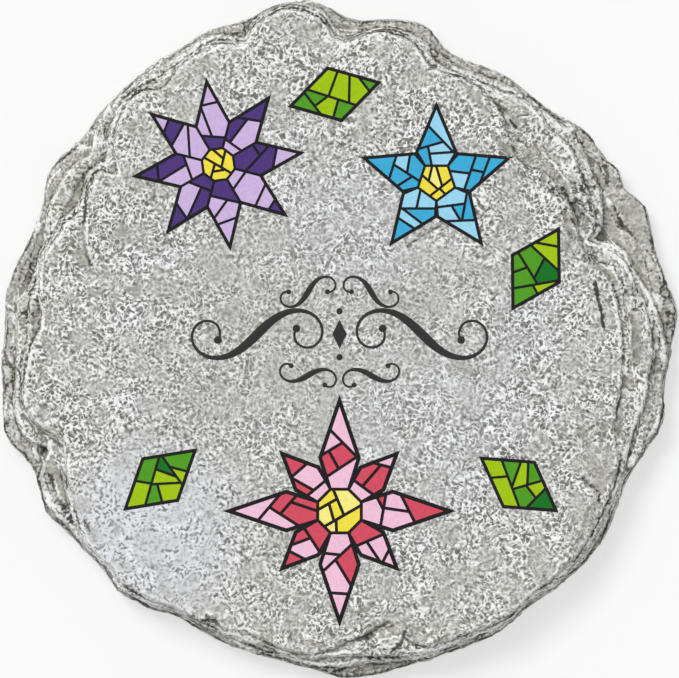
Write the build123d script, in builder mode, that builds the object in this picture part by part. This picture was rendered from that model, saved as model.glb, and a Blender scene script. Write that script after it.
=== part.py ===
"""A round cast garden stone, about 280 mm across, with a rim of broken layers like split slate.

The stone lies flat, face up. +Z is up, +Y is the top of the face, and the origin is on the underside,
at the middle of the stone's width and depth. It is one solid: four layers cast in one piece.
"""
import os
from math import cos, radians, sin

from build123d import *

# Driving sizes, in millimetres
STONE_RADIUS = 144.5  # the circle that touches the outermost point of the rim
FOOT_THICKNESS = 9.5  # the bottom layer; the four layers make up the stone's thickness of 22
SHELF_THICKNESS = 6.0  # the second layer
STEP_THICKNESS = 4.0  # the third layer
FACE_THICKNESS = 2.5  # the top layer
SIDE_LEAN = 0.4  # how far each layer's side leans in over its height
EDGE_BREAK = 0.5  # bevel along each layer's top edge
UNDERSIDE_BREAK = 0.8  # bevel along the bottom edge

# Each rim is read round the stone, counterclockwise from +X, as pairs of an angle in degrees and
# how far the layer's edge is set in from STONE_RADIUS at that angle, in millimetres.

# The bottom layer gives the stone its outline.
FOOT_RIM = [
    (0, 6.8), (2, 5.1), (5, 4.3), (8, 6.0), (12, 7.6), (16, 8.5), (20, 7.2), (25, 7.4),
    (29, 11.0), (31, 9.7), (34, 11.4), (38, 11.0), (43, 12.6), (45, 14.3), (50, 15.7),
    (54, 15.5), (58, 15.1), (62, 16.8), (68, 17.2), (71, 15.5), (73.5, 11.4), (77, 9.3),
    (82, 10.1), (88, 11.0), (91.5, 7.6), (95, 3.9), (99, 2.9), (103, 4.3), (106, 6.0),
    (112, 5.4), (120, 6.8), (123, 6.0), (127, 7.0), (132, 6.8), (138, 8.0), (143, 8.3),
    (150, 6.2), (153, 7.8), (161, 9.3), (166, 7.2), (173, 4.9), (180, 5.1), (185, 3.5),
    (190, 2.5), (195, 0.4), (198, 2.0), (201, 5.1), (205, 6.2), (209, 4.1), (214, 5.1),
    (218, 7.0), (224, 7.4), (228, 5.6), (233, 7.4), (239, 11.0), (246, 11.0), (255, 9.3),
    (262, 8.5), (266, 6.8), (269, 4.9), (275, 5.4), (281, 6.4), (286, 7.4), (292, 7.0),
    (297, 6.2), (303, 8.3), (310, 8.0), (319, 7.2), (326, 8.5), (330, 11.0), (335, 11.6),
    (340, 9.7), (343, 7.6), (347, 7.2), (352, 8.3), (357, 8.0),
]

# The second layer runs back in two deep bays, beside the right edge and under the top lobe.
SHELF_RIM = [
    (0, 10.1), (5, 12.6), (9, 15.5), (14, 19.7), (17, 20.5), (19, 23.8), (20.5, 27.6),
    (21.7, 31.0), (23, 27.6), (25, 24.6), (28, 21.7), (32, 19.7), (36, 18.0), (39, 15.9),
    (45, 16.8), (50, 17.6), (55, 18.0), (58, 18.8), (62, 20.5), (66, 21.3), (69, 20.1),
    (73, 18.4), (76, 15.5), (79, 13.9), (83, 14.7), (86, 17.2), (89, 18.8), (90.7, 16.5),
    (92.3, 10.5), (95, 5.8), (99, 4.2), (103, 5.6), (105.5, 8.2), (107.5, 12.6), (110, 10.1),
    (114, 8.0), (120, 8.9), (127, 8.9), (134, 8.5), (138, 9.2), (141, 11.8), (143.5, 15.1),
    (146, 13.4), (152, 12.2), (157, 12.6), (161, 15.1), (165, 15.5), (169, 14.3), (172, 11.4),
    (176, 9.7), (181, 10.1), (185, 9.3), (190, 7.6), (195, 6.8), (198, 8.9), (200.8, 15.0),
    (202.5, 11.4), (205, 7.8), (209, 6.0), (214, 7.0), (218, 8.4), (224, 8.8), (228, 7.2),
    (233, 9.0), (239, 12.2), (246, 12.2), (255, 10.6), (262, 10.3), (268, 8.9), (273, 10.3),
    (280, 9.7), (287, 9.0), (293, 8.4), (298, 7.7), (303, 9.6), (310, 9.4), (318, 8.9),
    (325, 10.1), (330, 12.4), (335, 13.0), (340, 11.4), (343, 9.1), (347, 8.5), (352, 9.6),
    (357, 9.6),
]

# The third layer shows as a broken step between the second layer and the face.
STEP_RIM = [
    (0, 15.9), (5, 17.2), (9, 18.8), (14, 21.9), (17, 24.0), (19, 27.3), (20.5, 30.5),
    (21.7, 33.6), (23.3, 31.0), (26, 27.6), (30, 25.5), (34, 24.2), (40, 21.0), (45, 21.4),
    (49, 19.8), (54, 20.2), (58, 22.2), (62, 23.4), (67, 24.0), (70, 23.8), (73, 21.0),
    (76, 17.4), (79, 15.4), (83, 16.1), (86, 18.6), (89, 20.2), (91, 18.4), (92.8, 12.4),
    (95, 7.6), (99, 5.4), (103, 7.0), (105.7, 10.0), (107.7, 14.7), (109.5, 13.9), (113, 11.0),
    (118, 11.5), (124, 12.6), (130, 11.0), (134, 12.2), (137.5, 14.6), (140, 18.0), (143, 21.3),
    (145.5, 19.6), (150, 22.0), (153, 23.0), (156, 19.8), (160, 18.0), (164, 16.8), (169, 16.4),
    (172, 15.1), (176, 15.3), (180, 14.7), (183.5, 12.6), (187, 11.4), (191, 10.6), (194, 11.6),
    (196.5, 14.5), (198.7, 18.6), (201, 21.7), (203.3, 18.4), (206, 16.8), (210, 14.3),
    (213, 11.4), (217, 9.6), (224, 9.7), (229, 8.8), (234, 10.8), (239, 13.2), (246, 13.4),
    (252, 13.6), (257, 12.4), (262, 12.0), (267, 13.0), (271, 13.6), (276, 12.8), (281, 11.8),
    (287, 10.6), (293, 9.9), (299, 9.3), (305, 10.6), (312, 10.6), (318, 10.6), (325, 11.8),
    (331, 14.1), (335, 14.9), (338, 16.6), (342, 17.8), (347, 16.8), (352, 15.9), (357, 15.9),
]

# The top layer is the face that the pattern is printed on. Its edge has four sharp notches.
FACE_RIM = [
    (0, 27.6), (6, 28.4), (10, 30.0), (14, 32.1), (18, 35.4), (21.5, 37.9), (25, 36.3),
    (30, 35.0), (36, 34.6), (40, 35.4), (44, 39.6), (48, 37.9), (51, 33.8), (55, 29.2),
    (60, 25.9), (65, 25.2), (69, 26.3), (72, 25.5), (75, 20.9), (77.5, 17.6), (80, 16.7),
    (83, 17.2), (86, 19.7), (89, 21.3), (91.2, 19.7), (93, 13.9), (95.5, 9.0), (99, 6.8),
    (103, 8.6), (106, 11.8), (108, 16.1), (110, 14.9), (113, 12.4), (117, 12.7), (121, 14.1),
    (124.5, 16.8), (127, 14.8), (130, 12.6), (133, 13.4), (136, 16.0), (139, 20.5), (141.3, 25.1),
    (143.2, 29.8), (145.2, 23.0), (148, 23.4), (151.5, 26.3), (154, 25.0), (157, 21.3),
    (160, 19.7), (164, 17.8), (169, 17.6), (172, 18.0), (175, 20.0), (177.5, 20.2), (180, 17.6),
    (183, 14.9), (187, 12.9), (191, 11.8), (194, 12.8), (196.5, 15.9), (198.6, 20.1), (201, 23.8),
    (203.5, 20.5), (207, 17.6), (211, 15.5), (214, 12.6), (218, 10.7), (224, 10.8), (230, 10.0),
    (235, 12.2), (240, 14.6), (245, 14.8), (249, 16.0), (252, 17.2), (255, 16.9), (258, 15.0),
    (262, 13.6), (266, 15.1), (270, 18.6), (274, 21.3), (277.5, 24.0), (280, 25.9), (282.3, 20.3),
    (285, 14.3), (290, 12.6), (295, 11.4), (300, 10.9), (306, 12.0), (313, 12.2), (320, 12.6),
    (327, 15.1), (332, 16.8), (336, 18.4), (339, 21.7), (342, 25.5), (346, 27.1), (352, 27.1),
]


# Each layer, from the bottom up: its rim, its thickness and the bevel along its bottom edge.
LAYERS = [
    (FOOT_RIM, FOOT_THICKNESS, UNDERSIDE_BREAK),
    (SHELF_RIM, SHELF_THICKNESS, 0.0),
    (STEP_RIM, STEP_THICKNESS, 0.0),
    (FACE_RIM, FACE_THICKNESS, 0.0),
]


def rim_points(rim, inset):
    """The points of a rim, all set in by a further inset."""
    points = []
    for degrees, set_in in rim:
        reach = STONE_RADIUS - set_in - inset
        points.append((reach * cos(radians(degrees)), reach * sin(radians(degrees))))
    return points


def layer_sections(bottom, top, bottom_break):
    """Heights and insets of a layer's sections: its sides lean in and its edges are bevelled."""
    sections = [
        (bottom + bottom_break, 0.0),
        (top - EDGE_BREAK, SIDE_LEAN),
        (top, SIDE_LEAN + EDGE_BREAK),
    ]
    if bottom_break:
        sections.insert(0, (bottom, bottom_break))
    return sections


bottom = 0.0
with BuildPart() as garden_stone:
    for rim, thickness, bottom_break in LAYERS:
        top = bottom + thickness
        for height, inset in layer_sections(bottom, top, bottom_break):
            with BuildSketch(Plane.XY.offset(height)):
                with BuildLine():
                    Spline(*rim_points(rim, inset), periodic=True)
                make_face()
        loft(ruled=True)
        bottom = top

# The rims are drawn about the centre of STONE_RADIUS, and the origin is the middle of the stone.
middle = garden_stone.part.bounding_box().center()
stone = garden_stone.part.moved(Location((-middle.X, -middle.Y, 0)))
stone.label = "garden_stone"

os.makedirs("parts", exist_ok=True)
export_step(stone, "parts/garden_stone.step")
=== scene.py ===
"""A round garden stone cast to look like split slate, with a broken-tile pattern printed on its face."""
import random
from math import ceil, cos, exp, pi, radians, sin, tan

import bmesh
import bpy
import numpy as np
from mathutils import Euler, Matrix, Vector, noise
from mathutils.bvhtree import BVHTree
from mathutils.kdtree import KDTree


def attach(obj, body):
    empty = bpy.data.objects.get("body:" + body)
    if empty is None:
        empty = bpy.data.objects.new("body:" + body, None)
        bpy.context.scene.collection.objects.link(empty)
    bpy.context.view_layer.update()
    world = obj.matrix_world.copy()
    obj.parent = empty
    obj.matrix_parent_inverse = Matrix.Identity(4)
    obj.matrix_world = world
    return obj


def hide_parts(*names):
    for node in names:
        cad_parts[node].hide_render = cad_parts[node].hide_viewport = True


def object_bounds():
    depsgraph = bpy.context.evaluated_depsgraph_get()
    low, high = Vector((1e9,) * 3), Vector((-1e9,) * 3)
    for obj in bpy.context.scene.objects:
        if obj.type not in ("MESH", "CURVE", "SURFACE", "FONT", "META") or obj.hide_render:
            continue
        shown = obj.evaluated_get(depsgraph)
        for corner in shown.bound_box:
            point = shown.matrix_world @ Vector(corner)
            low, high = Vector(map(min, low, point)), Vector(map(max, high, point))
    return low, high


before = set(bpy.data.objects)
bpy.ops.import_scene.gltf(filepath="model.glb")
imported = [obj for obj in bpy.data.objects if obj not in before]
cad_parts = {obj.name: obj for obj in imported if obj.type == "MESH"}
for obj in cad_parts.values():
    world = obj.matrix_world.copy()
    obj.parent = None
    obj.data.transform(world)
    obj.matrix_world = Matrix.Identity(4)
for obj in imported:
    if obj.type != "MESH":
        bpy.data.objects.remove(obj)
cad_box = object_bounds()


# The view: the photograph looks straight down at the stone, which fills the picture.
MM = 0.001
PHOTO_WIDTH_PX = 679
MM_PER_PX = 0.415
CAMERA_HEIGHT = 4.0  # far enough that the low rim and the face share one scale

camera_data = bpy.data.cameras.new("camera")
camera_data.lens = camera_data.sensor_width * CAMERA_HEIGHT / (PHOTO_WIDTH_PX * MM_PER_PX * MM)
camera = bpy.data.objects.new("camera", camera_data)
camera.location = (0, 0, CAMERA_HEIGHT)
bpy.context.scene.collection.objects.link(camera)
bpy.context.scene.camera = camera


# The stone: pale grey cement cast in one piece in a rubber mould taken from split slate, so its rim
# has broken layers and its face a plaster-like grain. A thin dark wash stays in the hollows. Its colour
# also carries painted shade in the hollows, in the cracks and at the feet of its walls, and painted
# highlight on its lips.
GRID = 0.75 * MM  # how finely the relief is modelled
FACE_Z = cad_box[1][2]
FACE_EDGE = (20.8 * MM, 21.9 * MM)  # the ledges are below the first height, the face above the second
FOOT_Z = 9.5 * MM  # the top of the bottom layer
MOST_TRIANGLES = 188000
# Edges of split scales that the layers don't follow, each with how deep it steps down to the right of
# its line, in mm, and the line's points in mm, +Y towards the top.
SCALE_EDGES = [
    (1.6, [(-101, 73), (-103, 67), (-104, 60), (-104, 51), (-105, 45), (-105, 41), (-104, 36),
           (-103, 32), (-102, 28.5), (-100.5, 25), (-99, 20)]),
    (1.0, [(-139, -2.5), (-138, -6.5), (-136.5, -10), (-134.5, -12.5), (-132.5, -13.5)]),
    (0.9, [(-139.5, 14.5), (-137, 12.5), (-135, 11)]),
    (0.9, [(-120, -41), (-121.5, -45), (-123.5, -50)]),
    (1.1, [(-121.5, -51), (-120.5, -54.5), (-118, -57.5), (-117, -63), (-113.5, -69), (-111, -75.5)]),
    (0.9, [(-60, -117), (-55.5, -115.5), (-51.5, -116), (-49, -118), (-48, -121)]),
    (1.1, [(-5.5, -138), (-2, -137), (2.5, -135.5), (6.5, -134.5), (10, -133.5)]),
    (0.8, [(18.5, -131), (21, -129), (25, -124.5), (27, -121.5), (29.5, -116.5)]),
    (0.9, [(111.5, -2.5), (108.5, 7), (107.5, 13), (105, 21), (103, 30)]),
    (0.9, [(124.5, 38.5), (122, 42), (119, 45), (116.5, 47), (115, 50), (114, 54)]),
    (1.0, [(110.5, 62), (110.5, 67), (109.5, 71), (107.5, 74)]),
    (0.9, [(103.5, 50.5), (103, 55), (102.5, 59.5)]),
    (0.9, [(102, 42.5), (100.5, 45), (98.5, 47.5)]),
    (0.8, [(101, 58.5), (100, 61), (98, 63.5)]),
    (1.0, [(70.5, 84), (68.5, 86.5), (67, 89)]),
    (1.0, [(74, 85.5), (71.5, 88), (69.5, 91.5)]),
    (0.8, [(41.5, 116.5), (38.5, 118.5), (36, 120)]),
    (0.7, [(41.5, 112.5), (38.5, 111.5), (35, 111)]),
    (0.7, [(-2.5, 128), (-0.5, 125.5), (-2.5, 123.5)]),
]
SCALE_END_FADE = 0.25  # the share of a line over which it comes in, and over which it goes out
SCALE_RUN_OUT = 4  # mm over which the low side rises again

# Furrows, each with its depth and half width in mm, and its points. The last four are broad valleys.
FURROWS = [
    (1.0, 1.2, [(12.5, -121), (15.5, -119.5), (18, -118), (20.5, -116)]),
    (1.1, 1.1, [(100.5, -57.5), (102.5, -60), (105, -61.5), (107, -63.5), (107, -67)]),
    (0.5, 0.8, [(95, -45), (92.5, -48), (90.5, -50.5), (86.5, -53.5)]),
    (0.6, 0.7, [(28, 38.5), (36, 43.5), (42.5, 47.5)]),
    (0.9, 0.7, [(-106, -75.5), (-104.5, -77.5), (-103, -79.5)]),
    (0.7, 0.7, [(117, 24.5), (119, 26.5), (121, 29.5)]),
    (0.9, 0.7, [(97, 47), (95.5, 50)]),
    (0.9, 0.7, [(102.5, 35.5), (101, 38.5)]),
    (0.6, 2.4, [(101, -38), (104.5, -48), (107, -60), (106, -68), (103, -80), (98, -88)]),
    (0.5, 2.0, [(-70, -112), (-58, -119), (-45, -124), (-30, -128), (-14, -130)]),
    (0.5, 1.8, [(86, 72), (93, 60), (100, 44), (104, 30)]),
    (0.5, 1.8, [(-122, -30), (-124, -40), (-120, -52), (-114, -66)]),
]

# Pits, all of one depth and half width, in mm.
PITS = [
    (98.5, -38.5), (95, -42.5), (102.5, -30), (83.5, -26), (121.5, -33), (128, -38), (113, -7),
    (125.5, 21), (115.5, 15), (116.5, 13.5), (30, 125), (20.5, -116.5), (85.5, -97), (100.5, -57.5),
    (83.5, 74.5), (94.5, 36), (97, 35), (113, -17.5), (115.5, -24.5), (19.5, -125.5), (15, -125),
    (5, -130.5), (-123.5, -50),
]
PIT_DEPTH = 0.9
PIT_HALF_WIDTH = 0.7

# Arcs where the face's edge is broken into splinters, each from one angle to another, in degrees from
# +X, with how strongly.
BROKEN_ARCS = [(6, 66, 1.0), (-52, -4, 0.75), (-110, -58, 0.6), (196, 250, 0.5)]
ARC_FADE = 10  # degrees over which an arc comes in and goes out
SPLINTER_DEPTH = 1.3
SPLINTERED_BAND = (2.5, 8)  # splinters are whole up to 2.5 mm from the face's edge and end by 8 mm

# Smooth hollows where the wash has settled, darkened further with painted shade, and no grain shows: the
# middle and the radius, in mm.
SMOOTH_HOLLOWS = [
    (-88, 44.5, 3.6), (-105.5, 34, 3.2), (-102.5, 19, 3.2), (-85.5, 20.5, 2.6), (-121, 9.5, 3.0),
    (-118, -44, 4.2), (80.5, 77.5, 3.0), (90.5, 65, 2.4), (18.5, -118, 2.2), (-53, -118.5, 2.8),
    (-30.5, -125.5, 2.8),
]
HOLLOW_DEPTH = 0.5

# The ledges' scales drop where their noise rises from one level to another. Each drop has these two
# levels, the levels at which its foot and its lip run, and its depth in mm.
SCALE_DROPS = [(-0.02, 0.05, 0.03, -0.05, 0.9), (0.22, 0.28, 0.27, 0.19, 0.7)]

# The noise round the rim: how many mm of it go to a radian, and the seam where it starts and ends, at a
# place where the ledges are narrow.
RIM_SCALE = 110
SEAM = radians(-50)
OUT_OF_REACH = 3  # mm added to the distance from a lip or a foot where it fades out


def show(mesh, name):
    """Links a mesh as an object at the origin."""
    made = bpy.data.objects.new(name, mesh)
    bpy.context.scene.collection.objects.link(made)
    return made


def apply_modifiers(piece):
    """Replaces a piece's mesh by the one its modifiers make."""
    shaped = bpy.data.meshes.new_from_object(piece.evaluated_get(bpy.context.evaluated_depsgraph_get()))
    piece.modifiers.clear()
    piece.data = shaped


def vectors(mesh, name):
    """A mesh's points ("co") or their normals ("normal") as an array, in metres."""
    flat = np.empty(len(mesh.vertices) * 3)
    mesh.vertices.foreach_get(name, flat)
    return flat.reshape(-1, 3)


def noise_at(points, *sizes):
    """Noise between about -1 and 1 at each point, with lumps of a size in mm, or of one size each way."""
    return np.array([noise.noise(point) for point in points / (np.array(sizes) * MM)])


def smooth_step(low, high, values):
    """0 below low, 1 above high and a smooth rise between."""
    share = np.clip((values - low) / (high - low), 0, 1)
    return share * share * (3 - 2 * share)


def neighbour_mean(mesh, values, rounds):
    """Values averaged over each point's neighbours, a number of times."""
    ends = np.empty(len(mesh.edges) * 2, int)
    mesh.edges.foreach_get("vertices", ends)
    first, second = ends.reshape(-1, 2).T
    both = np.concatenate([first, second])
    other = np.concatenate([second, first])
    count = np.bincount(both, minlength=len(values))
    for _ in range(rounds):
        values = np.bincount(both, weights=values[other], minlength=len(values)) / count
    return values


def follow_line(points, line):
    """How far each point is, seen from above, from a smooth line through points in mm: the distance in mm,
    positive on the line's right, and how far along the line the nearest place is, from 0 to 1."""
    line = np.array(line, float)
    corners = np.stack([0.75 * line[:-1] + 0.25 * line[1:], 0.25 * line[:-1] + 0.75 * line[1:]], 1)
    line = np.vstack([line[:1], corners.reshape(-1, 2), line[-1:]])
    runs = np.diff(line, axis=0)
    spans = np.linalg.norm(runs, axis=1)
    reached = np.cumsum(spans) - spans
    gap = np.full(len(points), np.inf)
    share = np.zeros(len(points))
    for start, run, span, before in zip(line, runs, spans, reached):
        off = points[:, :2] / MM - start
        along = np.clip(off @ run / span ** 2, 0, 1)
        near = np.linalg.norm(off - along[:, None] * run, axis=1)
        closer = near < np.abs(gap)
        gap[closer] = np.where(off @ (run[1], -run[0]) > 0, near, -near)[closer]
        share[closer] = (before + along * span)[closer] / spans.sum()
    return gap, share


def edge_points(edge, spacing):
    """Points along an edge, no further apart than the spacing."""
    start, end = edge.verts[0].co, edge.verts[1].co
    steps = max(1, ceil((end - start).length / spacing))
    return [start.lerp(end, step / steps) for step in range(steps)]


def at_reach(point, share, height):
    """A point moved to a share of its distance from the stone's middle, and to a height."""
    return Vector((point.x * share, point.y * share, height))


def lips_and_feet(bm, tree):
    """Points along the top edge of each layer, drawn in a little, and along the foot of its wall, drawn
    out a little. The bottom layer's edge counts as a foot, since painted shade darkens it too."""
    lips, feet = [], []
    up = Vector((0, 0, 1))
    for edge in bm.edges:
        if len(edge.link_faces) != 2 or edge.calc_face_angle_signed() < radians(30):
            continue
        if max(face.normal.z for face in edge.link_faces) < 0.99:
            continue
        for point in edge_points(edge, 0.5 * MM):
            below = tree.ray_cast(at_reach(point, 1.01, point.z + 0.1 * MM), -up)[0]
            drop = point.z - below.z if below else 0.0
            if point.z < FOOT_Z + MM:
                feet.append(at_reach(point, 1.003, point.z))
            elif tree.ray_cast(point + 0.1 * MM * up, up)[0] is None:
                lips.append(at_reach(point, 0.997, point.z))
                if drop > 0.5 * MM:
                    feet.append(at_reach(point, 1.008, below.z))
    return lips, feet


def gap_to(points, line_points):
    """How far each point is, in mm, from the nearest point of a set."""
    tree = KDTree(len(line_points))
    for index, point in enumerate(line_points):
        tree.insert(point, index)
    tree.balance()
    return np.array([tree.find(point)[2] for point in points]) / MM


def cad_stone():
    """The CAD stone as a closed bmesh."""
    bm = bmesh.new()
    bm.from_mesh(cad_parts["garden_stone"].data)
    bmesh.ops.remove_doubles(bm, verts=bm.verts, dist=1e-6)
    return bm


bm = cad_stone()
lips, feet = lips_and_feet(bm, BVHTree.FromBMesh(bm))
stone_mesh = bpy.data.meshes.new("stone")
bm.to_mesh(stone_mesh)
bm.free()
stone = show(stone_mesh, "stone")
remesh = stone.modifiers.new("grid", "REMESH")
remesh.mode = "VOXEL"
remesh.voxel_size = GRID
apply_modifiers(stone)

# Where each point is: off the floor, on a wall, on the face, on a ledge, close to the face's edge, and
# on the rim, where its surroundings lie below the face on average.
points = vectors(stone.data, "co")
above_floor = smooth_step(0.5 * MM, 2.5 * MM, points[:, 2])
wall = 1 - smooth_step(0.3, 0.8, np.abs(vectors(stone.data, "normal")[:, 2]))
on_face = smooth_step(*FACE_EDGE, points[:, 2])
ledge = (1 - on_face) * above_floor
face_lips = [lip for lip in lips if lip.z > FACE_Z - MM]
near_edge = 1 - smooth_step(*SPLINTERED_BAND, gap_to(points, face_lips))
below_face = FACE_Z - neighbour_mean(stone.data, points[:, 2], 120)
rim = smooth_step(0.0, 0.4 * MM, below_face) * above_floor

# The cracks, furrows, pits and hollows, with how near each point is to a worn lip, which gets painted
# highlight, and to a foot, which gets painted shade, in mm, and how far the wash, with painted shade, has
# settled on it. A broad shallow furrow has the narrowest foot.
middling = noise_at(points, 6)
small = noise_at(points, 2.4)
lip_gap = gap_to(points, lips)
foot_gap = gap_to(points, feet)
washed_and_shaded = np.zeros(len(points))
for drop, line in SCALE_EDGES:
    gap, share = follow_line(points, line)
    fade = smooth_step(0, SCALE_END_FADE, share) * smooth_step(0, SCALE_END_FADE, 1 - share) * above_floor
    low_side = smooth_step(-0.3, 0.7, gap) * np.exp(-np.clip(gap, 0, None) / SCALE_RUN_OUT)
    points[:, 2] -= fade * low_side * drop * MM
    lip_gap = np.minimum(lip_gap, np.abs(gap + 0.6) + OUT_OF_REACH * (1 - fade))
    foot_gap = np.minimum(foot_gap, np.abs(gap - 0.4) + OUT_OF_REACH * (1 - fade))
for depth, half_width, line in FURROWS:
    gap = follow_line(points, line)[0] / half_width
    points[:, 2] -= above_floor * depth * MM * np.exp(-gap * gap)
    # The wash and painted shade lie along each furrow.
    washed_and_shaded = np.maximum(washed_and_shaded, 0.55 * np.exp(-gap * gap))
    foot_gap = np.minimum(foot_gap, 0.3 + 1.1 * half_width ** 2 * np.abs(gap) / depth)
for x, y in PITS:
    gap = np.hypot(points[:, 0] / MM - x, points[:, 1] / MM - y) / PIT_HALF_WIDTH
    points[:, 2] -= above_floor * PIT_DEPTH * MM * np.exp(-gap * gap)
    foot_gap = np.minimum(foot_gap, 0.3 + 0.7 * gap)
# Smooth hollows hold the wash, darkened further with painted shade.
for x, y, radius in SMOOTH_HOLLOWS:
    gap = np.hypot(points[:, 0] / MM - x, points[:, 1] / MM - y) / radius + 0.9 * middling + 1.1 * small
    washed_and_shaded = np.maximum(washed_and_shaded, 0.6 - 0.6 * smooth_step(0.6, 1.0, gap))
points[:, 2] -= washed_and_shaded * HOLLOW_DEPTH * above_floor * MM

# The splinters of the face's edge lie along the rim, with the wash and painted shade in their chips and
# painted shade in the cracks round them. The worn lip, and its painted highlight, is fainter where the edge
# is broken.
turn = np.arctan2(points[:, 1], points[:, 0])
reach = np.hypot(points[:, 0], points[:, 1])
along_rim = np.stack([np.mod(turn - SEAM, 2 * pi) * RIM_SCALE * MM, reach, points[:, 2]], 1)
splinters = noise_at(along_rim, 8, 2.8, 20) + 0.35 * middling + 0.2 * small
broken = np.zeros(len(points))
for start, end, strength in BROKEN_ARCS:
    degrees = np.mod(np.degrees(turn) - start, 360)
    span = end - start
    within = smooth_step(0, ARC_FADE, degrees) * (1 - smooth_step(span - ARC_FADE, span, degrees))
    broken = np.maximum(broken, strength * within)
chips = smooth_step(0.08, 0.3, splinters) * near_edge * (0.12 + 0.88 * broken)
points[:, 2] -= chips * SPLINTER_DEPTH * MM
# The chips hold the wash and painted shade.
washed_and_shaded = np.maximum(washed_and_shaded, 0.7 * chips)
foot_gap = np.minimum(foot_gap, 0.25 + 9 * np.abs(splinters - 0.12)
                      + OUT_OF_REACH * (1 - near_edge * broken))
lip_gap += broken * on_face * (0.7 + 0.8 * middling)

# The ledges are split too, into scales that overlap along the rim, with painted shade at each scale's
# foot and a worn lip with painted highlight at its edge.
scales = noise_at(along_rim, 24, 5.5, 14) + 0.14 * middling + 0.06 * small
for start, end, foot, lip, depth in SCALE_DROPS:
    points[:, 2] -= ledge * smooth_step(start, end, scales) * depth * MM
    foot_gap = np.minimum(foot_gap, 0.5 + 12 * np.abs(scales - foot) + OUT_OF_REACH * (1 - ledge))
    lip_gap = np.minimum(lip_gap, 0.2 + 11 * np.abs(scales - lip) + OUT_OF_REACH * (1 - ledge))
stands_up = (points[:, 2] - neighbour_mean(stone.data, points[:, 2], 4)) / MM
stands_up_wide = (points[:, 2] - neighbour_mean(stone.data, points[:, 2], 60)) / MM

# The rim wavers, its walls are split into thin leaves, and its ledges and the face are uneven.
broad = noise_at(points, 17)
for axis, apart in ((0, 0.0), (1, 0.5)):
    wavy = noise_at(points + apart, 14, 14, 40)
    jagged = noise_at(points + apart, 3.5, 3.5, 9) + 0.6 * noise_at(points + apart, 1.8)
    points[:, axis] += (wavy + 0.38 * jagged) * rim * 1.2 * MM
outward = points[:, :2] / np.linalg.norm(points[:, :2], axis=1)[:, None]
split = noise_at(points, 9, 9, 2.2) + 0.4 * small
points[:, :2] += outward * (split * wall * above_floor)[:, None] * 0.6 * MM
points[:, 2] += ledge * (0.8 * broad + 0.35 * middling + 0.12 * small) * MM
points[:, 2] += on_face * (0.25 * broad + 0.15 * middling + 0.06 * small) * MM
points[:, 2] = np.clip(points[:, 2], 0, None)
stone.data.vertices.foreach_set("co", points.ravel())

# The underside is plain, so none of the edges' wear, wash, painted highlight and painted shade runs on
# across it.
underneath = points[:, 2] < 0.3 * MM
for name, values, plain in (("stands_up", stands_up, 0), ("stands_up_wide", stands_up_wide, 0),
                            ("washed_and_shaded", washed_and_shaded, 0), ("lip_gap", lip_gap, 9), ("foot_gap", foot_gap, 9)):
    attribute = stone.data.attributes.new(name, "FLOAT", "POINT")
    attribute.data.foreach_set("value", np.where(underneath, plain, values))

thin = stone.modifiers.new("thin", "DECIMATE")
thin.ratio = MOST_TRIANGLES / (2 * len(stone.data.polygons))
apply_modifiers(stone)
for polygon in stone.data.polygons:
    polygon.use_smooth = polygon.normal.z > -0.95  # all but the flat underside


def linear(hex_colour):
    """An sRGB hex colour as the linear RGBA that a socket takes."""
    channels = [int(hex_colour[i:i + 2], 16) / 255 for i in (1, 3, 5)]
    return [c / 12.92 if c <= 0.04045 else ((c + 0.055) / 1.055) ** 2.4 for c in channels] + [1]


def add_node(tree, kind, inputs, **settings):
    """Adds a node to a tree with its settings, and gives each input a value or links a socket to it."""
    made = tree.nodes.new("ShaderNode" + kind)
    for name, value in settings.items():
        setattr(made, name, value)
    for name, value in inputs.items():
        if isinstance(value, bpy.types.NodeSocket):
            tree.links.new(value, made.inputs[name])
        else:
            made.inputs[name].default_value = value
    return made


def new_material(name):
    """A new material, and its node tree with nothing in it yet."""
    material = bpy.data.materials.new(name)
    material.use_nodes = True
    material.node_tree.nodes.clear()
    return material, material.node_tree


# Cast cement under a thin dark wash, wiped off the high spots: a matt grey with a maze of pale grain,
# olive where the wash and painted shade lie in the hollows, nearly black with painted shade in the cracks
# and almost white on worn edges, which also carry painted highlight.
cast_cement, tree = new_material("cast_cement_with_wash_and_painted_shade")
place = add_node(tree, "TexCoord", {}).outputs["Object"]
drift = add_node(tree, "TexNoise", {"Vector": place, "Scale": 1 / (8 * MM), "Detail": 1.0}).outputs["Color"]
swing = add_node(tree, "VectorMath", {0: drift, 1: (0.5, 0.5, 0.5)}, operation="SUBTRACT").outputs["Vector"]
shift = add_node(tree, "VectorMath", {0: swing, "Scale": 4 * MM}, operation="SCALE").outputs["Vector"]
warped = add_node(tree, "VectorMath", {0: place, 1: shift}, operation="ADD").outputs["Vector"]
grain = add_node(tree, "TexNoise", {"Vector": warped, "Scale": 1 / (1.25 * MM),
                                    "Detail": 0.5}).outputs["Fac"]
off_middle = add_node(tree, "Math", {0: grain, 1: 0.5}, operation="SUBTRACT").outputs["Value"]
folds = add_node(tree, "TexNoise", {"Vector": warped, "Scale": 1 / (2.1 * MM), "Detail": 1.0,
                                    "Roughness": 0.4}).outputs["Fac"]
fold_side = add_node(tree, "Math", {0: folds, 1: 0.5}, operation="SUBTRACT").outputs["Value"]
fold_gap = add_node(tree, "Math", {0: fold_side}, operation="ABSOLUTE").outputs["Value"]
ridges = add_node(tree, "MapRange", {"Value": fold_gap, "From Max": 0.1, "To Min": 1.0, "To Max": -0.4},
                  interpolation_type="SMOOTHSTEP").outputs["Result"]
regions = add_node(tree, "TexNoise", {"Vector": place, "Scale": 1 / (24 * MM), "Detail": 1.0}).outputs["Fac"]
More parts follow.
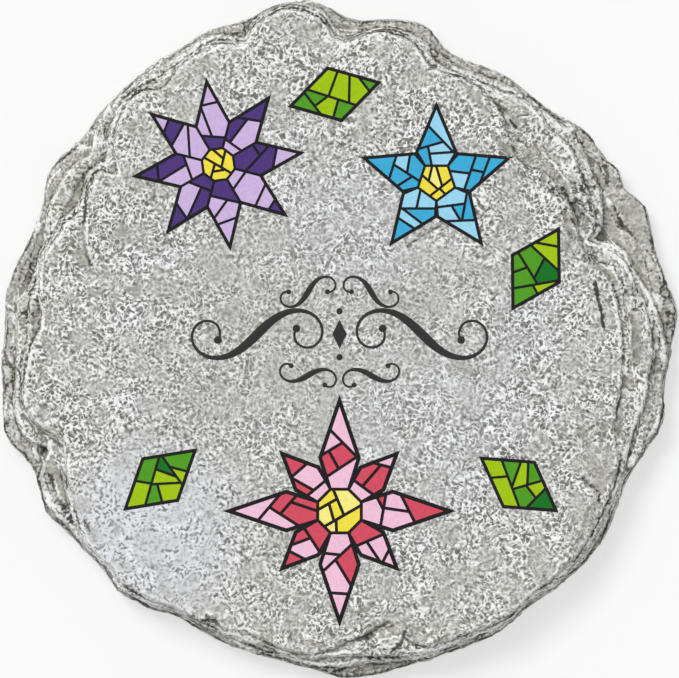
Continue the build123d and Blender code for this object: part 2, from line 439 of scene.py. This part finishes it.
ridge_gain = add_node(tree, "MapRange", {"Value": regions, "From Min": 0.4, "From Max": 0.6, "To Min": 0.16,
                                         "To Max": 0.36}).outputs["Result"]
ridge_relief = add_node(tree, "Math", {0: ridges, 1: ridge_gain}, operation="MULTIPLY").outputs["Value"]
relief = add_node(tree, "Math", {0: off_middle, 1: 1.15, 2: ridge_relief},
                  operation="MULTIPLY_ADD").outputs["Value"]

# The grain is faintest in the middle of the face, in smooth patches, low on the rim, where the wash and
# painted shade have settled, and on the underside.
patches = add_node(tree, "TexNoise", {"Vector": place, "Scale": 1 / (9 * MM), "Detail": 2.0}).outputs["Fac"]
patch_share = add_node(tree, "MapRange", {"Value": patches, "From Min": 0.4, "From Max": 0.55,
                                          "To Min": 0.48}, interpolation_type="SMOOTHSTEP").outputs["Result"]
flat_place = add_node(tree, "VectorMath", {0: place, 1: (1, 1, 0)}, operation="MULTIPLY").outputs["Vector"]
from_middle = add_node(tree, "VectorMath", {0: flat_place}, operation="LENGTH").outputs["Value"]
middle_share = add_node(tree, "MapRange", {"Value": from_middle, "From Min": 45 * MM,
                                           "From Max": 85 * MM, "To Min": 0.62},
                        interpolation_type="SMOOTHSTEP").outputs["Result"]
high = add_node(tree, "SeparateXYZ", {0: place}).outputs["Z"]
low_share = add_node(tree, "MapRange", {"Value": high, "From Min": 9 * MM, "From Max": 14 * MM,
                                        "To Min": 0.8}, interpolation_type="SMOOTHSTEP").outputs["Result"]
# The wash and painted shade in furrows, smooth hollows and chips.
settled_wash_and_shade = add_node(tree, "Attribute", {}, attribute_name="washed_and_shaded").outputs["Fac"]
bare_share = add_node(tree, "MapRange", {"Value": settled_wash_and_shade, "To Min": 1.0, "To Max": 0.3}).outputs["Result"]
off_floor = add_node(tree, "MapRange", {"Value": high, "From Min": 0.2 * MM,
                                        "From Max": 1.5 * MM}).outputs["Result"]
cast_share = add_node(tree, "MapRange", {"Value": off_floor, "To Min": 0.4}).outputs["Result"]

# Towards the lower left the face is rubbed smoother and paler, with small dark marks and a cool cast.
from_rubbed = add_node(tree, "VectorMath", {0: flat_place, 1: (-80 * MM, -82 * MM, 0)},
                       operation="DISTANCE").outputs["Value"]
rubbed = add_node(tree, "MapRange", {"Value": from_rubbed, "From Min": 55 * MM, "From Max": 18 * MM,
                                     "To Max": off_floor}, interpolation_type="SMOOTHSTEP").outputs["Result"]
rubbed_marks = add_node(tree, "MapRange", {"Value": rubbed, "To Max": 0.7}).outputs["Result"]
marks = add_node(tree, "MapRange", {"Value": grain, "From Min": 0.48, "From Max": 0.36,
                                    "To Max": -0.36}).outputs["Result"]
relief = add_node(tree, "Mix", {0: rubbed_marks, 2: relief, 3: marks}).outputs[0]
rubbed_share = add_node(tree, "MapRange", {"Value": rubbed, "To Min": 1.0, "To Max": 0.85}).outputs["Result"]
share = patch_share
for other_share in (middle_share, low_share, bare_share, cast_share, rubbed_share):
    share = add_node(tree, "Math", {0: share, 1: other_share}, operation="MULTIPLY").outputs["Value"]
level = add_node(tree, "MapRange", {"Value": rubbed, "To Min": 0.48, "To Max": 0.59}).outputs["Result"]
height = add_node(tree, "Math", {0: relief, 1: share, 2: level}, operation="MULTIPLY_ADD").outputs["Value"]

# The bare cement: darker in the grain's hollows, and tinted a little from place to place.
ramp = add_node(tree, "ValToRGB", {"Fac": height})
stops = ramp.color_ramp.elements
stops[0].position, stops[0].color = 0.2, linear("#6B6A64")
stops[1].position, stops[1].color = 0.76, linear("#FDFDFC")
for position, hex_colour in {0.38: "#9A9A96", 0.5: "#C3C3C1", 0.62: "#E4E4E4"}.items():
    stops.new(position).color = linear(hex_colour)
tint = add_node(tree, "TexNoise", {"Vector": place, "Scale": 1 / (45 * MM), "Detail": 2.0}).outputs["Fac"]
cool = add_node(tree, "MapRange", {"Value": tint, "From Min": 0.38, "From Max": 0.62}).outputs["Result"]
outer = add_node(tree, "MapRange", {"Value": from_middle, "From Min": 85 * MM, "From Max": 125 * MM},
                 interpolation_type="SMOOTHSTEP").outputs["Result"]
tint_colour = linear("#F4F4F1")
for amount, hex_colour in ((cool, "#FCFDFF"), (outer, "#FCFCF9"), (rubbed, "#F8FAFF")):
    tint_colour = add_node(tree, "Mix", {0: amount, 6: tint_colour, 7: linear(hex_colour)},
                           data_type="RGBA").outputs[2]
bare = add_node(tree, "Mix", {0: 1.0, 6: ramp.outputs["Color"], 7: tint_colour}, data_type="RGBA",
                blend_type="MULTIPLY").outputs[2]

# How far each spot stands out of its surroundings and how near it is to a lip or a foot, frayed by the
# grain, says where the stone is worn white, with painted highlight on its lips, and where painted shade
# darkens its cracks, hollows and the feet of its walls. Both come and go along an edge.
up = add_node(tree, "Attribute", {}, attribute_name="stands_up").outputs["Fac"]
up_wide = add_node(tree, "Attribute", {}, attribute_name="stands_up_wide").outputs["Fac"]
to_lip = add_node(tree, "Attribute", {}, attribute_name="lip_gap").outputs["Fac"]
to_foot = add_node(tree, "Attribute", {}, attribute_name="foot_gap").outputs["Fac"]
come_and_go = add_node(tree, "TexNoise", {"Vector": place, "Scale": 1 / (11 * MM),
                                          "Detail": 1.0}).outputs["Fac"]
frayed = add_node(tree, "Math", {0: off_middle, 1: 0.6, 2: up}, operation="MULTIPLY_ADD").outputs["Value"]
frayed_lip = add_node(tree, "Math", {0: off_middle, 1: -1.5, 2: to_lip},
                      operation="MULTIPLY_ADD").outputs["Value"]
frayed_foot = add_node(tree, "Math", {0: off_middle, 1: 1.5, 2: to_foot},
                       operation="MULTIPLY_ADD").outputs["Value"]
worn = add_node(tree, "MapRange", {"Value": frayed, "From Min": 0.4, "From Max": 0.9,
                                   "To Max": 0.5}).outputs["Result"]
lip_strength = add_node(tree, "MapRange", {"Value": come_and_go, "From Min": 0.4, "From Max": 0.58,
                                           "To Min": 0.1}).outputs["Result"]
# Worn lips, lightened further with painted highlight.
worn_and_highlit_lip = add_node(tree, "MapRange", {"Value": frayed_lip, "From Min": 0.9, "From Max": 0.4,
                                       "To Max": lip_strength}).outputs["Result"]
white = add_node(tree, "Math", {0: worn, 1: worn_and_highlit_lip}, operation="MAXIMUM").outputs["Value"]
# Painted shade where a spot lies below its surroundings.
painted_hollow_shade = add_node(tree, "MapRange", {"Value": frayed, "From Min": -0.35, "From Max": -0.8,
                                   "To Max": 0.8}).outputs["Result"]
foot_strength = add_node(tree, "MapRange", {"Value": come_and_go, "From Min": 0.42, "From Max": 0.6,
                                            "To Min": 1.0, "To Max": 0.35}).outputs["Result"]
# Painted shade along cracks and at the feet of walls.
painted_foot_shade = add_node(tree, "MapRange", {"Value": frayed_foot, "From Min": 1.05, "From Max": 0.5,
                                        "To Max": foot_strength}).outputs["Result"]
painted_crack_shade = add_node(tree, "Math", {0: painted_hollow_shade, 1: painted_foot_shade}, operation="MAXIMUM").outputs["Value"]

# The wash lies in broad hollows and where it has settled, in both with painted shade, low on the rim in
# patches, and in the smooth patches outside the middle of the face. It doesn't reach the underside.
# The wash and painted shade in broad hollows.
sunk_wide = add_node(tree, "MapRange", {"Value": up_wide, "From Min": 0.0, "From Max": -1.0,
                                        "To Max": 0.8}).outputs["Result"]
patch_top = add_node(tree, "MapRange", {"Value": patches, "From Min": 0.42, "From Max": 0.58,
                                        "To Min": 14 * MM, "To Max": 19 * MM}).outputs["Result"]
low_wash = add_node(tree, "MapRange", {"Value": high, "From Min": patch_top, "From Max": 9 * MM,
                                       "To Max": 0.45}).outputs["Result"]
outer_wash = add_node(tree, "MapRange", {"Value": from_middle, "From Min": 60 * MM, "From Max": 110 * MM,
                                         "To Max": 0.22}).outputs["Result"]
smooth_wash = add_node(tree, "MapRange", {"Value": patches, "From Min": 0.46, "From Max": 0.38,
                                          "To Max": outer_wash}).outputs["Result"]
wash_and_shade = sunk_wide
for other_wash_and_shade in (low_wash, settled_wash_and_shade, smooth_wash):
    wash_and_shade = add_node(tree, "Math", {0: wash_and_shade, 1: other_wash_and_shade}, operation="MAXIMUM").outputs["Value"]
wash_and_shade = add_node(tree, "Math", {0: wash_and_shade, 1: off_floor}, operation="MULTIPLY").outputs["Value"]
mottle = add_node(tree, "TexNoise", {"Vector": warped, "Scale": 1 / (3.2 * MM),
                                     "Detail": 3.0}).outputs["Fac"]
thinner = add_node(tree, "MapRange", {"Value": mottle, "From Min": 0.38,
                                      "From Max": 0.62}).outputs["Result"]
wash_and_shade_colour = add_node(tree, "Mix", {0: thinner, 6: linear("#7F7D6F"), 7: linear("#B9B8AE")},
                       data_type="RGBA").outputs[2]
finish = bare
# The wash with painted shade, worn white with painted highlight, then painted shade in the cracks.
for amount, colour in ((wash_and_shade, wash_and_shade_colour), (white, linear("#F6F6F4")), (painted_crack_shade, linear("#3C3B34"))):
    finish = add_node(tree, "Mix", {0: amount, 6: finish, 7: colour}, data_type="RGBA").outputs[2]
bump = add_node(tree, "Bump", {"Height": height, "Distance": 0.3 * MM, "Strength": 1.0}).outputs["Normal"]
shader = add_node(tree, "BsdfPrincipled", {"Base Color": finish, "Roughness": 0.9, "Normal": bump})
add_node(tree, "OutputMaterial", {"Surface": shader.outputs["BSDF"]})
stone.data.materials.clear()
stone.data.materials.append(cast_cement)

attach(stone, "root")
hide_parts("garden_stone")


# The print: three stars and four lozenges of broken tiles, every tile in a flat colour with black lines
# round it, and a dark scroll across the middle. It is enamel ink, screen-printed on the finished stone.
INK_GRID = 1.0 * MM  # how finely the ink follows the stone
INK_THICKNESS = 0.35 * MM
LINE_LIFT = 0.12 * MM  # how far the black lines, and the scroll's edges, stand above the stone
TILE_LIFT = 0.22 * MM
LINE_OUTSIDE = 0.75  # how much of a line's width shows round a whole shape, and round each tile in it
LINE_INSIDE = 0.5
CUT_TURN = 0.5  # how far a break between tiles may turn from square, in radians
CUT_PLACE = (0.35, 0.65)  # where along a tile's side it may break
LINE_INK = "black"
SCROLL_INK = "charcoal"
INK_COLOURS = {
    LINE_INK: "#141214", SCROLL_INK: "#2E2E2E", "rose": "#D34D61", "pink": "#F1C1DA",
    "yellow": "#F2DF45", "pale_yellow": "#F7EC84", "purple": "#4C3478", "lilac": "#CDB4E0",
    "sky_blue": "#3BABD7", "pale_blue": "#9AD6F0", "dark_green": "#0F6E1E", "green": "#4F9A1E",
    "lime": "#A0C40A",
}

# Strokes of the scroll's right half, which its left half mirrors: the middle and the size of a double
# spiral in mm, its tilt in degrees, how far it winds, and how wide it is at its ends and in its middle, in
# mm. A stroke is a round bar pressed nearly flat, with a ball at each end.
SCROLL_STROKES = [
    ((34, 2), 16, -45, 3.5, 1.0, 3.8),
    ((13, -15), 7, -30, 3.0, 0.8, 2.4),
    ((13, 19.5), 7, -60, 3.0, 0.8, 2.4),
]
STROKE_STEPS = 48
STROKE_MIDDLE = 0.33  # the share of each half over which a stroke is thick
STROKE_SWELL = 0.12  # how much of its round section stands up
BALL_SHARE = 0.42  # a ball's radius, as a share of the stroke's width in its middle
SCROLL_DOTS = [(0, 11.5, 1.3), (0, -7.5, 1.3)]
SCROLL_LOZENGE = [(3, 2), (0, 8), (-3, 2), (0, -4)]
RAY_START = 0.1  # well above the stone, in metres


def enamel_ink(name, hex_colour):
    """Screen-printed enamel on cement: a flat colour with a low sheen, its film a little thicker and
    thinner from spot to spot, so the colour is faintly mottled and the surface faintly grained."""
    ink, tree = new_material(name + "_enamel_ink")
    place = add_node(tree, "TexCoord", {}).outputs["Object"]
    film = add_node(tree, "TexNoise", {"Vector": place, "Scale": 1 / (1.6 * MM),
                                       "Detail": 2.0}).outputs["Fac"]
    thin = add_node(tree, "MapRange", {"Value": film, "From Min": 0.3, "From Max": 0.7, "To Min": 0.93,
                                       "To Max": 1.05}).outputs["Result"]
    colour = add_node(tree, "VectorMath", {0: linear(hex_colour)[:3], "Scale": thin},
                      operation="SCALE").outputs["Vector"]
    bump = add_node(tree, "Bump", {"Height": film, "Distance": 0.06 * MM}).outputs["Normal"]
    shader = add_node(tree, "BsdfPrincipled", {"Base Color": colour, "Roughness": 0.6,
                                               "Specular IOR Level": 0.15, "Normal": bump})
    add_node(tree, "OutputMaterial", {"Surface": shader.outputs["BSDF"]})
    return ink


def face_height(spot):
    """The height of the finished stone under a spot."""
    return stone_surface.ray_cast(Vector((spot.x, spot.y, RAY_START)), Vector((0, 0, -1)))[0].z


def placed(outline, degrees, x, y):
    """An outline in mm, turned and then moved."""
    turn = Matrix.Rotation(radians(degrees), 3, "Z")
    return [(turn @ Vector((*corner, 0)) + Vector((x, y, 0))) * MM for corner in outline]


def broken_tiles(outline, count, dice):
    """The tiles that a flat shape breaks into: the largest is split across its longest side until there
    are enough."""
    bm = bmesh.new()
    bm.faces.new([bm.verts.new(corner) for corner in outline])
    while len(bm.faces) < count:
        largest = max(bm.faces, key=bmesh.types.BMFace.calc_area)
        longest = max(largest.edges, key=bmesh.types.BMEdge.calc_length)
        start, end = [vert.co for vert in longest.verts]
        across = (end - start).normalized()
        across.rotate(Euler((0, 0, dice.uniform(-CUT_TURN, CUT_TURN))))
        bmesh.ops.bisect_plane(bm, geom=[largest, *largest.edges, *largest.verts],
                               plane_co=start.lerp(end, dice.uniform(*CUT_PLACE)), plane_no=across)
    tiles = [[vert.co.copy() for vert in face.verts] for face in bm.faces]
    bm.free()
    return tiles


def lay_ink(target, outline, grow, lift, slot):
    """Lays a thin closed film on the stone, within a convex outline that is first moved out by grow."""
    middle = sum(outline, Vector()) / len(outline)
    reach = max((corner - middle).length for corner in outline)
    reach += 4 * max(grow, 0)  # since a sharp corner moves out by more than its sides do
    steps = ceil(2 * reach / INK_GRID)
    bm = bmesh.new()
    bmesh.ops.create_grid(bm, x_segments=steps, y_segments=steps, size=reach,
                          matrix=Matrix.Translation(middle))
    for start, end in zip(outline, outline[1:] + outline[:1]):
        outward = (end - start).cross(Vector((0, 0, 1))).normalized()
        bmesh.ops.bisect_plane(bm, geom=[*bm.verts, *bm.edges, *bm.faces], plane_co=start + outward * grow,
                               plane_no=outward, clear_outer=True)
    for face in bm.faces:
        face.material_index = slot
    underside = list(bm.verts)
    bmesh.ops.extrude_face_region(bm, geom=list(bm.faces))
    for vert in bm.verts:
        vert.co.z = face_height(vert.co) + lift
    bmesh.ops.translate(bm, verts=underside, vec=(0, 0, -INK_THICKNESS))
    bmesh.ops.recalc_face_normals(bm, faces=bm.faces)
    film = bpy.data.meshes.new("film")
    bm.to_mesh(film)
    bm.free()
    target.from_mesh(film)
    bpy.data.meshes.remove(film)


def show_print(name, bm, ink_names):
    """Links a printed motif, with its inks in order, riding on the stone."""
    mesh = bpy.data.meshes.new(name)
    bm.to_mesh(mesh)
    bm.free()
    for ink_name in ink_names:
        mesh.materials.append(inks[ink_name])
    mesh.shade_smooth()
    mesh.set_sharp_from_angle(angle=radians(40))
    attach(show(mesh, name), "root")


def print_tiles(name, shapes, line, seed):
    """Prints shapes, each given as its outline, how many tiles it breaks into and the inks they are in,
    with black lines of a width in mm."""
    dice = random.Random(seed)
    used = [LINE_INK]
    bm = bmesh.new()
    for outline, count, tile_inks in shapes:
        used += [ink for ink in tile_inks if ink not in used]
        lay_ink(bm, outline, LINE_OUTSIDE * line * MM, LINE_LIFT, 0)
        for tile in broken_tiles(outline, count, dice):
            lay_ink(bm, tile, -LINE_INSIDE * line * MM, TILE_LIFT, used.index(dice.choice(tile_inks)))
    show_print(name, bm, used)


def star(x, y, turned, hub, rays, tile_inks):
    """A star's shapes round its middle, in mm: a yellow hub, then the rays. A ray is its shoulder, as how
    far out and half how wide, its tip, and how many tiles it breaks into."""
    step = 360 / len(rays)
    hub_reach = hub / cos(radians(step / 2))
    angles = [radians((index + 0.5) * step) for index in range(len(rays))]
    corners = [(hub_reach * cos(angle), hub_reach * sin(angle)) for angle in angles]
    shapes = [(placed(corners, turned, x, y), 6, ["yellow", "yellow", "pale_yellow"])]
    half = hub * tan(radians(step / 2))
    for index, (shoulder, shoulder_half, tip, count) in enumerate(rays):
        outline = [(hub, -half), (shoulder, -shoulder_half), (tip, 0), (shoulder, shoulder_half),
                   (hub, half)]
        shapes.append((placed(outline, turned + index * step, x, y), count, tile_inks))
    return shapes


def double_spiral(size, winds):
    """Points in mm along a line whose curve tightens evenly both ways from its middle."""
    step = winds / STROKE_STEPS
    half = [Vector((0, 0, 0))]
    for index in range(STROKE_STEPS):
        bend = ((index + 0.5) * step) ** 2 / 2
        half.append(half[-1] + Vector((cos(bend), sin(bend), 0)) * step * size)
    return [-point for point in half[:0:-1]] + half


def add_stroke(target, middle, size, tilt, winds, thin, thick, side):
    """Adds a stroke along a double spiral, on the right for a side of 1 and on the left for one of -1."""
    turn = Matrix.Rotation(radians(tilt), 3, "Z")
    line = [(turn @ point + Vector((*middle, 0))) * MM for point in double_spiral(size, winds)]
    data = bpy.data.curves.new("stroke", "CURVE")
    data.dimensions = "3D"
    data.twist_mode = "Z_UP"
    data.bevel_depth = 0.5 * MM  # so that a point's radius is the stroke's width in mm
    data.bevel_resolution = 2
    data.use_fill_caps = True
    spline = data.splines.new("POLY")
    spline.points.add(len(line) - 1)
    for index, (place, point) in enumerate(zip(line, spline.points)):
        off_middle = index / STROKE_STEPS - 1
        point.co = (side * place.x, place.y, 0, 1)
        point.radius = thin + (thick - thin) * exp(-(off_middle / STROKE_MIDDLE) ** 2)
    pen = bpy.data.objects.new("pen", data)
    target.from_mesh(bpy.data.meshes.new_from_object(pen))
    bpy.data.objects.remove(pen)
    for end in (line[0], line[-1]):
        bmesh.ops.create_icosphere(target, subdivisions=3, radius=BALL_SHARE * thick * MM,
                                   matrix=Matrix.Translation((side * end.x, end.y, 0)))


inks = {name: enamel_ink(name, colour) for name, colour in INK_COLOURS.items()}
stone_surface = BVHTree.FromObject(stone, bpy.context.evaluated_depsgraph_get())

compass_rays = [(22, 7.8, 45, 5), (19, 6.4, 33, 4)] * 4
quilt_rays = [(16.5, 6.83, 34, 4)] * 8
five_rays = [(12, 8.0, 31, 5)] * 5
print_tiles("rose_star", star(0, -71, 0, 9, compass_rays, ["rose", "pink"]), line=1.3, seed=3)
print_tiles("violet_star", star(-50, 72, 8, 6.5, quilt_rays, ["purple", "lilac"]), line=1.1, seed=5)
print_tiles("blue_star", star(40, 65, 90, 6.5, five_rays, ["sky_blue", "pale_blue"]), line=1.1, seed=8)

# Each lozenge is turned by its degrees and moved to its place in mm.
lozenge = [(18.5, 0), (0, 11), (-18.5, 0), (0, -11)]
lozenge_places = [(40, -74, -58), (-35, 74, -60), (15, -2, 101), (60, 81, 29)]
green_inks = ["dark_green", "green", "lime"]
green_shapes = [(placed(lozenge, *spot), 8, green_inks) for spot in lozenge_places]
print_tiles("green_lozenges", green_shapes, line=1.1, seed=2)

bm = bmesh.new()
for stroke in SCROLL_STROKES:
    for side in (1, -1):
        add_stroke(bm, *stroke, side)
for x, y, radius in SCROLL_DOTS:
    bmesh.ops.create_icosphere(bm, subdivisions=3, radius=radius * MM,
                               matrix=Matrix.Translation((x * MM, y * MM, 0)))
for vert in bm.verts:
    vert.co.z = face_height(vert.co) + LINE_LIFT + STROKE_SWELL * vert.co.z
bmesh.ops.recalc_face_normals(bm, faces=bm.faces)
lay_ink(bm, placed(SCROLL_LOZENGE, 0, 0, 0), 0, LINE_LIFT, 0)
show_print("scroll", bm, [SCROLL_INK])


# The setting: a plain white floor under soft light, the strongest of it from the top left. The floor
# starts at the outline of the stone's underside and isn't seen from below, so that side can be looked at.
FLOOR_RADIUS = 4.0  # in metres
FLOOR_WHITE = 0.55  # how much of plain white the camera sees on the floor; the rest shows the shadow
ALL_ROUND_LIGHT = 0.55  # how strongly a level white surface is lit from all round, and by the key lamp
KEY_LIGHT = 0.45
KEY_FROM = Vector((-0.6, 0.8, 1.19))
KEY_ELEVATION = radians(50)  # how high KEY_FROM is
KEY_SPREAD = radians(25)


def looked_at(tree):
    """1 where a surface is looked at, also in gloss or through glass, and 0 where it only gives light."""
    ray = add_node(tree, "LightPath", {}).outputs
    through = add_node(tree, "Math", {0: ray["Is Glossy Ray"], 1: ray["Is Transmission Ray"]},
                       operation="MAXIMUM").outputs["Value"]
    return add_node(tree, "Math", {0: ray["Is Camera Ray"], 1: through},
                    operation="MAXIMUM").outputs["Value"]


# A ring from the outline of the flat underside out to the floor's radius.
bm = cad_stone()
others = [face for face in bm.faces if face.normal.z >= -0.99 or face.verts[0].co.z >= 0.1 * MM]
bmesh.ops.delete(bm, geom=others, context="FACES")
underside = list(bm.faces)
outline = [edge for edge in bm.edges if edge.is_boundary]
extruded = bmesh.ops.extrude_edge_only(bm, edges=outline)["geom"]
for vert in [part for part in extruded if isinstance(part, bmesh.types.BMVert)]:
    vert.co *= FLOOR_RADIUS / vert.co.length
bmesh.ops.delete(bm, geom=underside, context="FACES")
bmesh.ops.recalc_face_normals(bm, faces=bm.faces)
if next(iter(bm.faces)).normal.z < 0:
    bmesh.ops.reverse_faces(bm, faces=bm.faces)
floor_mesh = bpy.data.meshes.new("floor")
bm.to_mesh(floor_mesh)
bm.free()
floor = show(floor_mesh, "floor")

# White paper: matt, but part plain white where it is looked at, so it stays white and still shows the
# stone's shadow. It is clear from below.
white_paper, tree = new_material("white_paper")
matt = add_node(tree, "BsdfDiffuse", {"Color": linear("#F4F4F4")}).outputs["BSDF"]
glow = add_node(tree, "Emission", {"Color": linear("#FFFFFF"), "Strength": 1.0}).outputs["Emission"]
white_share = add_node(tree, "Math", {0: looked_at(tree), 1: FLOOR_WHITE},
                       operation="MULTIPLY").outputs["Value"]
mixed = add_node(tree, "MixShader", {"Fac": white_share, 1: matt, 2: glow}).outputs["Shader"]
below = add_node(tree, "NewGeometry", {}).outputs["Backfacing"]
clear = add_node(tree, "BsdfTransparent", {}).outputs["BSDF"]
one_sided = add_node(tree, "MixShader", {"Fac": below, 1: mixed, 2: clear}).outputs["Shader"]
add_node(tree, "OutputMaterial", {"Surface": one_sided})
floor.data.materials.append(white_paper)

world = bpy.data.worlds.new("studio")
bpy.context.scene.world = world
world.use_nodes = True
tree = world.node_tree
tree.nodes.clear()
strength = add_node(tree, "MapRange", {"Value": looked_at(tree), "To Min": ALL_ROUND_LIGHT,
                                       "To Max": 1.0}).outputs["Result"]
sky = add_node(tree, "Background", {"Color": linear("#FFFFFF"), "Strength": strength})
add_node(tree, "OutputWorld", {"Surface": sky.outputs["Background"]})

key_data = bpy.data.lights.new("key", "SUN")
key_data.energy = KEY_LIGHT * pi / sin(KEY_ELEVATION)
key_data.angle = KEY_SPREAD
key = bpy.data.objects.new("key", key_data)
key.rotation_euler = KEY_FROM.to_track_quat("Z", "Y").to_euler()
bpy.context.scene.collection.objects.link(key)

bpy.context.scene.view_settings.view_transform = "Standard"
